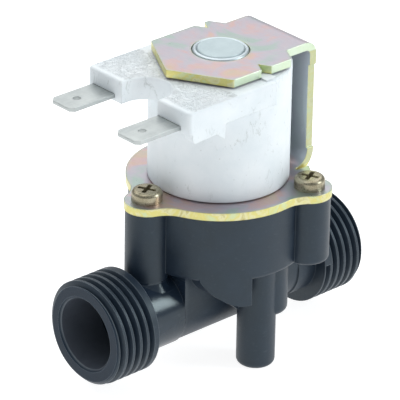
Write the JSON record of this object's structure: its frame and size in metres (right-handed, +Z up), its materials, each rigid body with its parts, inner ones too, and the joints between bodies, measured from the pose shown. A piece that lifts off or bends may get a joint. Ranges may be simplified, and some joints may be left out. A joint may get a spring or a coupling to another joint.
{
  "type": "solenoid valve",
  "caption": "In-line pilot-operated solenoid valve: dark plastic body with threaded ports on one axis, white coil in a plated steel yoke, blade terminals.",
  "frame": {"origin": "midway between the two fixing pegs, in the plane of their lower ends, under the coil axis", "axes": "+X along the port axis from inlet to outlet, +Z up along the coil axis, +Y across, away from the side with the near peg"},
  "size_m": [0.0645, 0.0406, 0.0631],
  "materials": {
    "body_nylon": "glass-filled nylon, fine moulded grain",
    "yoke_steel": "yellow-iridescent zinc plate on pressed steel",
    "screw_steel": "yellow zinc plate",
    "bobbin_nylon": "moulded",
    "winding_copper": "enamelled copper wire",
    "tape": "polyester winding tape",
    "coil_shell": "white moulded encapsulation",
    "bush_steel": "turned",
    "tube_steel": "drawn stainless",
    "core_steel": "turned stainless, satin",
    "ring_copper": "turned copper",
    "plunger_steel": "ground stainless",
    "rubber_seal": "moulded",
    "spring_steel": "stainless wire",
    "rubber_diaphragm": "moulded",
    "insert_nylon": "moulded",
    "bonnet_nylon": "glass-filled nylon",
    "blade_tin": "matt tin plate on brass"
  },
  "bodies": {
    "valve": {"valve_body": "body_nylon", "yoke": "yoke_steel", "body_screws": "screw_steel", "coil_bobbin": "bobbin_nylon", "coil_winding": "winding_copper", "winding_tape": "tape", "coil_overmould": "coil_shell", "flux_bush": "bush_steel", "armature_tube": "tube_steel", "fixed_core": "core_steel", "shading_ring": "ring_copper", "plunger_spring": "spring_steel", "diaphragm": "rubber_diaphragm", "tube_bonnet": "bonnet_nylon", "bonnet_o_ring": "rubber_seal", "terminal_left": "blade_tin", "terminal_right": "blade_tin", "start_lead": "winding_copper", "finish_lead": "winding_copper"},
    "armature": {"plunger": "plunger_steel", "plunger_seal": "rubber_seal"},
    "pilot": {"diaphragm_insert": "insert_nylon"}
  },
  "joints": [
    {"name": "plunger_slide", "type": "slide", "parent": "valve", "child": "armature", "axis": [0, 0, 1], "range_m": [0, 0.0027], "stiffness_N_per_m": 200, "deforming": ["plunger_spring"]},
    {"name": "insert_slide", "type": "slide", "parent": "valve", "child": "pilot", "axis": [0, 0, 1], "range_m": [0, 0.0018], "deforming": ["diaphragm"]}
  ],
  "couplings": [
    {"joint": "insert_slide", "follows": "plunger_slide", "ratio": 0.65}
  ]
}
